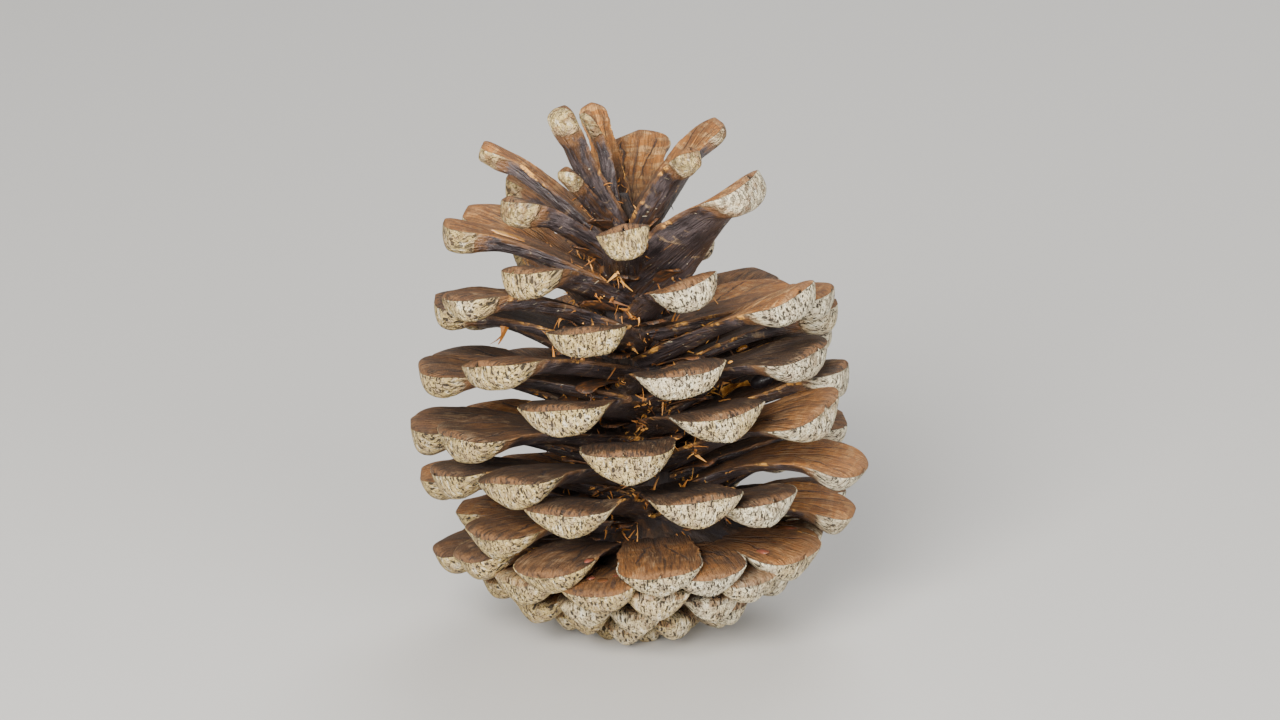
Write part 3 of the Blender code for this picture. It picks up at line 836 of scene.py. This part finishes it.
def spot_on(seat, along, across, below=0.0):
    """A point on a scale, its heading and its normal. Below goes from 0, its top, to 1, its underside."""
    foot, elbow, end = seat["foot"], seat["elbow"], seat["end"]
    back = 1 - along
    middle = foot * back * back + elbow * (2 * along * back) + end * along * along
    heading = ((elbow - foot) * back + (end - elbow) * along).normalized()
    turned = Matrix.Rotation(seat["twist"] * back + seat["roll"] * along, 3, heading)
    cross_way = (turned @ seat["sideways"]).normalized()
    normal = heading.cross(cross_way)
    width = seat["half_width"] * share_at(WIDTH_CURVE, along)
    depth = seat["depth"] * share_at(DEPTH_CURVE, back * seat["length"] / DEPTH_SPAN)
    keel_power = float(np.interp(seat["number"], (KEELED_TO, FLAT_FROM), KEEL_POWERS))
    down = below * depth * (1 - abs(across) ** keel_power)
    return middle + cross_way * (across * width) - normal * down, heading, normal


by_number = {int(seat["number"]): seat for seat in seats}
bract_seats = []
for seat in seats:
    if seat["number"] >= FIRST_BRACT:
        foot, _, _ = spot_on(seat, BRACT_FOOT, 0.0, 1.0)
        elbow, _, _ = spot_on(seat, BRACT_ELBOW, 0.0, 1.0)
        end, _, normal = spot_on(seat, BRACT_END + BRACT_PAST / seat["length"], 0.0, 1.0)
        bract = dict(seat, foot=foot, elbow=elbow - normal * BRACT_DROP, length=(end - foot).length)
        bract.update(end=end - normal * (0.3 + seat["chance"]) * MM, thinness=BRACT_THINNESS)
        bract.update(half_width=BRACT_HALF_WIDTH, depth=BRACT_DEPTH, finger=0.0)
        bract.update(number=seat["number"] + SCALES, roll=seat["roll"] + 0.5 - seat["chance"])
        bract_seats.append(bract)


def bract_skin():
    """Thin dry red-brown leaf, darker in patches."""
    material, start = bare_material("bract_skin")
    grown = start.node("ShaderNodeAttribute", {"attribute_name": "grown"}, {}, 1)
    patches = grown.noise(3.0, 0.5, 1.4)
    veins = (grown * BRACT_VEINS).noise(2.0)
    colour = patches.rise(0.40, 0.62).blend(UMBER, RED_BROWN)
    colour = (veins.rise(0.56, 0.68) * 0.6).blend(colour, TAN)
    bump = start.node("ShaderNodeBump", {}, {"Strength": 0.8, "Distance": BRACT_RELIEF, "Height": veins})
    return dressed(material, start, {"Base Color": colour, "Roughness": 0.6, "Normal": bump})


bracts = grow_scales("bracts", bract_seats, BRACT_SIDES, BRACT_RINGS, bract_skin())
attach(bracts, "root")
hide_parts("cone")


# The splinters and one torn skin. As the scales sprang open they tore bright fibres from the axis and from
# each other, which still stand about the roots and along the margins: single fibres, broad flakes and tufts.
SPLINTER_SEED = 21
SPLINTERS_EACH = 16
TORN_SKIN_SCALE = 99
FIRST_SPLINTERED = 44
REACH_OF_SPLINTERS = 0.34
FLAKES_EACH = 2
TUFTS_EACH = 3
FIBRES_IN_TUFT = 6
STRAY_AIM = 0.45
FIBRE_BREADTH = 0.09 * MM
FIBRE_FORM = {"Vertices": 5, "Side Segments": 4, "Radius Top": 0.15, "Radius Bottom": 1.0, "Depth": 1.0}
FIBRE_FLATNESS = 0.45
FIBRE_CURL = 2.5
FIBRE_TURN = 40.0
TORN_SKIN_ALONG, TORN_SKIN_ACROSS = 0.55, 0.80
TORN_SKIN_SWAYS = (0.0, 0.25, 0.5)

# Sizes in millimetres. Single fibres and tufts: the least, and the most that chance adds. Flakes: both limits.
SINGLE_LENGTH = (0.35, 1.3)
TUFT_LENGTH = (0.5, 1.6)
TUFT_BREADTH = (0.09, 0.12)
FLAKE_LENGTH = (0.7, 1.7)
FLAKE_BREADTH = (0.18, 0.34)


def splinter_spots():
    """Where each splinter stands, which way it points and how long and broad it is."""
    spread = random.Random(SPLINTER_SEED)
    spots = []

    def add(place, aim, length, breadth, tint):
        aim = (aim + Vector([spread.gauss(0, 1) for _ in range(3)]) * STRAY_AIM).normalized()
        spots.append({"place": place, "aim": aim, "size": (breadth, breadth, length), "chance": tint})

    for seat in seats:
        if seat["number"] < FIRST_SPLINTERED:
            continue
        for _ in range(SPLINTERS_EACH):
            along = 0.04 + REACH_OF_SPLINTERS * spread.random() ** 1.6
            side = spread.choice((-1, 1)) * (1 - 0.35 * spread.random() ** 2)
            place, heading, normal = spot_on(seat, along, side, spread.random())
            long = (SINGLE_LENGTH[0] + SINGLE_LENGTH[1] * spread.random() ** 2.5) * MM
            aim = heading * spread.choice((-1, 1, 1)) + normal * spread.uniform(-0.5, 0.6)
            add(place, aim, long, FIBRE_BREADTH, spread.random())
        for _ in range(FLAKES_EACH):
            along, side = 0.05 + REACH_OF_SPLINTERS * spread.random(), spread.uniform(-1, 1)
            place, heading, normal = spot_on(seat, along, side, spread.choice((0.0, 0.0, 1.0)))
            aim = heading * spread.uniform(-1, 1) + normal * spread.uniform(-0.2, 0.5)
            long, breadth = spread.uniform(*FLAKE_LENGTH) * MM, spread.uniform(*FLAKE_BREADTH) * MM
            add(place, aim, long, breadth, spread.uniform(0.15, 0.9))
        for _ in range(TUFTS_EACH):
            along = 0.08 + REACH_OF_SPLINTERS * 0.8 * spread.random()
            side = spread.choice((-1, 1)) * spread.uniform(0.4, 1.0)
            tint = spread.uniform(0.5, 1.0)
            for _ in range(FIBRES_IN_TUFT):
                at = along + spread.gauss(0, 0.02), side + spread.gauss(0, 0.07)
                place, heading, normal = spot_on(seat, *at, spread.choice((0.0, 1.0)))
                long = (TUFT_LENGTH[0] + TUFT_LENGTH[1] * spread.random() ** 2) * MM
                aim = heading * spread.uniform(-0.3, 1.0) + normal * spread.uniform(-0.4, 0.7)
                breadth = (TUFT_BREADTH[0] + TUFT_BREADTH[1] * spread.random()) * MM
                add(place, aim, long, breadth, tint + spread.gauss(0, 0.12))
    place, heading, _ = spot_on(by_number[TORN_SKIN_SCALE], TORN_SKIN_ALONG, TORN_SKIN_ACROSS, 0.9)
    for sway in TORN_SKIN_SWAYS:
        aim = Vector((-0.35 + sway, -0.2, -1.0)).normalized()
        breadth, tint = (0.42 - 0.2 * sway) * MM, 0.62 + 0.2 * sway
        size = (breadth, breadth, (2.1 - sway) * MM)
        spots.append({"place": place + heading * sway * MM, "aim": aim, "size": size, "chance": tint})
    return spots


def splinter_tree():
    """The node tree that sets one curved, tapering fibre at each spot."""
    tree = bpy.data.node_groups.new("splinters", "GeometryNodeTree")
    for name, kind in (("Spots", "Geometry"), ("Curl", "Float"), ("Wood", "Material")):
        tree.interface.new_socket(name=name, in_out="INPUT", socket_type=f"NodeSocket{kind}")
    tree.interface.new_socket(name="Geometry", in_out="OUTPUT", socket_type="NodeSocketGeometry")
    given = tree.nodes.new("NodeGroupInput")
    spots, curl, wood = (Wire(tree, given.outputs[i]) for i in range(3))
    fibre = spots.node("GeometryNodeMeshCone", {"fill_type": "TRIANGLE_FAN"}, FIBRE_FORM)
    place = fibre.node("GeometryNodeInputPosition")
    height = place.part(2)
    bent = fibre.vector(place.part(0), place.part(1) * FIBRE_FLATNESS + height * height * curl, height)
    fibre = fibre.node("GeometryNodeSetPosition", {}, {"Geometry": fibre, "Position": bent})
    aim, size, chance = (
        spots.node("GeometryNodeInputNamedAttribute", {"data_type": kind}, {"Name": name})
        for name, kind in (("aim", "FLOAT_VECTOR"), ("size", "FLOAT_VECTOR"), ("chance", "FLOAT"))
    )
    turn = aim.node("FunctionNodeAlignRotationToVector", {"axis": "Z"}, {"Vector": aim})
    turn = turn.node(
        "FunctionNodeRotateRotation",
        {"rotation_space": "LOCAL"},
        {"Rotation": turn, "Rotate By": turn.vector(0.0, 0.0, chance * FIBRE_TURN)},
    )
    sockets = {"Points": spots, "Instance": fibre, "Rotation": turn, "Scale": size}
    placed = spots.node("GeometryNodeInstanceOnPoints", {}, sockets)
    mesh = placed.node("GeometryNodeRealizeInstances", {}, {"Geometry": placed})
    mesh = mesh.node("GeometryNodeSetMaterial", {}, {"Geometry": mesh, "Material": wood})
    leaving = tree.nodes.new("NodeGroupOutput")
    tree.links.new(mesh.socket, leaving.inputs[0])
    return tree


def splinter_wood():
    """Fresh torn wood: from dark brown over tan to bright orange-yellow, one tint to a fibre."""
    material, start = bare_material("splinter_wood")
    tint = start.node("ShaderNodeAttribute", {"attribute_name": "chance"}, {}, 2)
    stops = ((0.0, UMBER), (0.35, RED_BROWN), (0.6, TAN), (0.8, TORN_EDGE), (1.0, BRIGHT_FIBRE))
    colour = start.node("ShaderNodeValToRGB", {"stops": stops}, {0: tint})
    return dressed(material, start, {"Base Color": colour, "Roughness": 0.55})


splinters = points_of("splinters", splinter_spots(), ("aim", "size"), ("chance",))
grow(splinters, splinter_tree(), {"Curl": FIBRE_CURL, "Wood": splinter_wood()})
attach(splinters, "root")
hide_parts("cone")


# The seed. One dark oval seed in its hard coat is still lodged on a scale at the right, in the bed where it
# grew, with the torn scrap of its papery wing beside it.
SEED_SCALE = 82
SEED_ALONG = 0.54
SEED_ACROSS = 0.15
SEED_HALF_SIZES = (1.2 * MM, 0.8 * MM, 0.75 * MM)
SEED_SEGMENTS = 40
WING_LENGTH = 3.0 * MM
WING_WIDTH = 1.5 * MM
WING_STEPS = 24
WING_STEPS_ACROSS = 8
WING_THICKNESS = 0.05 * MM
WING_LIFT = 0.25 * MM
WING_WAVE = 0.35 * MM
WING_CUP = 1.6 * MM
WING_BEHIND, WING_BESIDE = 0.14, 0.3
SEED_POINT = 0.25
SEED_LIFT = 0.60 * MM
SLATE = (0.10, 0.11, 0.14, 1.0)
PATCH_RELIEF = 0.1 * MM


def plain_material(name, low, high, scale, roughness, coat=0.0):
    """A finish of two colours in soft patches."""
    material, start = bare_material(name)
    patches = start.node("ShaderNodeTexCoord", {}, {}, 3).noise(3.0, 0.5, scale)
    colour = patches.rise(0.40, 0.62).blend(low, high)
    bump = start.node("ShaderNodeBump", {}, {"Strength": 0.5, "Distance": PATCH_RELIEF, "Height": patches})
    sockets = {"Base Color": colour, "Roughness": roughness, "Coat Weight": coat, "Normal": bump}
    return dressed(material, start, sockets)


def small_piece(name, mesh, material):
    """An object from a bmesh, riding with the cone."""
    data = bpy.data.meshes.new(name)
    mesh.to_mesh(data)
    mesh.free()
    data.shade_smooth()
    data.materials.append(material)
    made = bpy.data.objects.new(name, data)
    bpy.context.scene.collection.objects.link(made)
    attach(made, "root")
    return made


def axes_at(place, heading, normal):
    """The matrix that sets a piece down at a place: X along the heading and Z along the normal."""
    side = normal.cross(heading)
    turn = Matrix((heading, side, normal)).transposed()
    return Matrix.Translation(place) @ turn.to_4x4()


place, heading, normal = spot_on(by_number[SEED_SCALE], SEED_ALONG, SEED_ACROSS)
seed_mesh = bmesh.new()
bmesh.ops.create_uvsphere(seed_mesh, u_segments=SEED_SEGMENTS, v_segments=SEED_SEGMENTS // 2, radius=1.0)
for vertex in seed_mesh.verts:
    pointed = 1 - SEED_POINT * max(0.0, vertex.co.x)
    x, y, z = SEED_HALF_SIZES
    vertex.co = Vector((vertex.co.x * x, vertex.co.y * y * pointed, vertex.co.z * z))
set_down = axes_at(place + normal * SEED_LIFT, heading, normal)
bmesh.ops.transform(seed_mesh, matrix=set_down, verts=seed_mesh.verts)
small_piece("seed", seed_mesh, plain_material("seed_coat", SOOT, SLATE, 900.0, 0.4, 0.3))

wing_mesh = bmesh.new()
layers = []
for lift in (0.0, WING_THICKNESS):
    layer = []
    for i in range(WING_STEPS + 1):
        u = i / WING_STEPS
        torn = 0.12 * math.sin(23 * u) + 0.08 * math.sin(51 * u + 1)
        row = []
        for j in range(WING_STEPS_ACROSS + 1):
            v = j / WING_STEPS_ACROSS - 0.5
            across = v * WING_WIDTH * (0.55 + 0.6 * math.sin(math.pi * u)) * (1 + torn)
            up = WING_LIFT + lift + WING_WAVE * math.sin(3.1 * u + 2 * v) + WING_CUP * v * v
            row.append(wing_mesh.verts.new(((u - 0.5) * WING_LENGTH, across, up)))
        layer.append(row)
    layers.append(layer)
for sheet, facing_down in zip(layers, (True, False)):
    for lower, upper in zip(sheet, sheet[1:]):
        for j in range(WING_STEPS_ACROSS):
            corners = (lower[j], upper[j], upper[j + 1], lower[j + 1])
            wing_mesh.faces.new(corners if facing_down else corners[::-1])
wing_at = spot_on(by_number[SEED_SCALE], SEED_ALONG - WING_BEHIND, SEED_ACROSS + WING_BESIDE)
bmesh.ops.transform(wing_mesh, matrix=axes_at(*wing_at), verts=wing_mesh.verts)
small_piece("seed_wing", wing_mesh, plain_material("wing_skin", TAN, BRIGHT_FIBRE, 1500.0, 0.45))


# The resin. It is the cone's own gum, which has run and set in drops on a few scales: red where old and
# thick, amber where fresh.
OLD_RESIN = (0.24, 0.072, 0.048, 1.0)
AMBER = (0.52, 0.20, 0.03, 1.0)

# Each drop: its scale, its place along and across, its radius in millimetres and its height as a share of it.
OLD_DROPS = (
    (40, 0.82, 0.30, 0.85, 0.35), (48, 0.74, 0.80, 0.70, 0.4), (40, 0.90, -0.10, 0.45, 0.4),
    (56, 0.80, -0.55, 0.48, 0.4), (56, 0.74, 0.10, 0.38, 0.35), (54, 0.80, 0.90, 0.42, 0.4),
    (46, 0.86, 0.10, 0.50, 0.4), (46, 0.80, -0.30, 0.42, 0.4), (46, 0.78, 0.35, 0.34, 0.4),
    (60, 0.80, 0.30, 0.40, 0.5), (55, 0.78, -0.40, 0.42, 0.5), (66, 0.70, 0.20, 0.36, 0.5),
)
FRESH_DROPS = (
    (87, 0.52, 0.28, 0.40, 0.9), (98, 0.32, -0.50, 0.30, 0.6), (77, 0.42, -0.40, 0.28, 0.6),
    (93, 0.36, 0.50, 0.26, 0.6), (75, 0.42, 0.60, 0.30, 0.5), (112, 0.60, -0.35, 1.20, 0.12),
    (102, 0.50, 0.40, 0.30, 0.6), (84, 0.55, -0.50, 0.30, 0.6), (90, 0.45, 0.20, 0.24, 0.7),
)
DROP_ROUNDS = 3
DROP_LENGTH = 1.4
DROP_LOBES, LOBE_SWELL = 3, 0.18
DROP_LIFT = 0.15 * MM


def drops_on(name, drops, material):
    """Set drops at their places on the scales' upper faces: each a flattened, lobed ball."""
    mesh = bmesh.new()
    for number, along, across, radius, flatness in drops:
        place, heading, normal = spot_on(by_number[number], along, across)
        ball = bmesh.ops.create_icosphere(mesh, subdivisions=DROP_ROUNDS, radius=radius * MM)["verts"]
        for vertex in ball:
            wobble = 1 + LOBE_SWELL * math.sin(DROP_LOBES * vertex.co.x / (radius * MM) + number)
            x, y, z = vertex.co
            vertex.co = Vector((x * DROP_LENGTH * wobble, y * wobble, z * flatness))
        set_down = axes_at(place + normal * DROP_LIFT, heading, normal)
        bmesh.ops.transform(mesh, matrix=set_down, verts=ball)
    return small_piece(name, mesh, material)


drops_on("old_resin", OLD_DROPS, plain_material("old_resin", OLD_RESIN, RED_BROWN, 500.0, 0.25, 0.4))
drops_on("fresh_resin", FRESH_DROPS, plain_material("fresh_resin", AMBER, BRIGHT_FIBRE, 700.0, 0.2, 0.4))


# The studio. It is a plain pale floor under three square soft lights and a pale even sky. The camera looks
# slightly down at the cone, from the height and distance of the photograph.
ELEVATION = math.radians(15.5)
CAMERA_DISTANCE = 0.45
AIM = Vector((0.0, 0.0, 0.0272))
FRAME_WIDTH_PX = 1280
PX_PER_MM = 10.4
SENSOR = 36.0
NEAR = 0.01
FLOOR_HALF = 3.0
FLOOR_GREY = (0.62, 0.61, 0.59, 1.0)
FLOOR_ROUGHNESS = 0.9
SKY_GREY = (0.80, 0.81, 0.83, 1.0)
SKY_STRENGTH = 0.32

# Each light: its name, azimuth and elevation in degrees, distance and size in metres, power in watts, colour.
LIGHTS = (
    ("key", -16, 26, 0.6, 0.26, 8.0, (1.0, 0.97, 0.92)),
    ("fill", 30, 6, 0.6, 0.40, 4.4, (1.0, 0.98, 0.96)),
    ("back", 165, 50, 0.7, 0.4, 3.0, (1.0, 0.99, 0.97)),
)

floor_data = bpy.data.meshes.new("floor")
corners = [(x * FLOOR_HALF, y * FLOOR_HALF, 0) for x, y in ((-1, -1), (1, -1), (1, 1), (-1, 1))]
floor_data.from_pydata(corners, [], [(0, 1, 2, 3)])
floor = bpy.data.objects.new("floor", floor_data)
bpy.context.scene.collection.objects.link(floor)
floor_paint = bpy.data.materials.new("floor_paint")
floor_paint.use_nodes = True
floor_shader = floor_paint.node_tree.nodes["Principled BSDF"]
floor_shader.inputs["Base Color"].default_value = FLOOR_GREY
floor_shader.inputs["Roughness"].default_value = FLOOR_ROUGHNESS
floor_data.materials.append(floor_paint)


def soft_light(name, azimuth, elevation, distance, size, power, colour):
    """A square area light that looks at the cone from an azimuth and an elevation."""
    data = bpy.data.lights.new(name, "AREA")
    data.shape = "SQUARE"
    data.size = size
    data.energy = power
    data.color = colour
    light = bpy.data.objects.new(name, data)
    a, e = math.radians(azimuth), math.radians(elevation)
    towards = Vector((math.sin(a) * math.cos(e), -math.cos(a) * math.cos(e), math.sin(e)))
    light.location = AIM + towards * distance
    light.rotation_euler = towards.to_track_quat("Z", "Y").to_euler()
    bpy.context.scene.collection.objects.link(light)


for light in LIGHTS:
    soft_light(*light)

world = bpy.data.worlds.new("studio")
world.use_nodes = True
sky = world.node_tree.nodes["Background"]
sky.inputs["Color"].default_value = SKY_GREY
sky.inputs["Strength"].default_value = SKY_STRENGTH
bpy.context.scene.world = world

camera_data = bpy.data.cameras.new("camera")
camera_data.sensor_width = SENSOR
camera_data.lens = SENSOR * CAMERA_DISTANCE / (FRAME_WIDTH_PX / PX_PER_MM * MM)
camera_data.clip_start = NEAR
camera = bpy.data.objects.new("camera", camera_data)
backward = Vector((0.0, -math.cos(ELEVATION), math.sin(ELEVATION)))
camera.location = AIM + backward * CAMERA_DISTANCE
camera.rotation_euler = backward.to_track_quat("Z", "Y").to_euler()
bpy.context.scene.collection.objects.link(camera)
bpy.context.scene.camera = camera
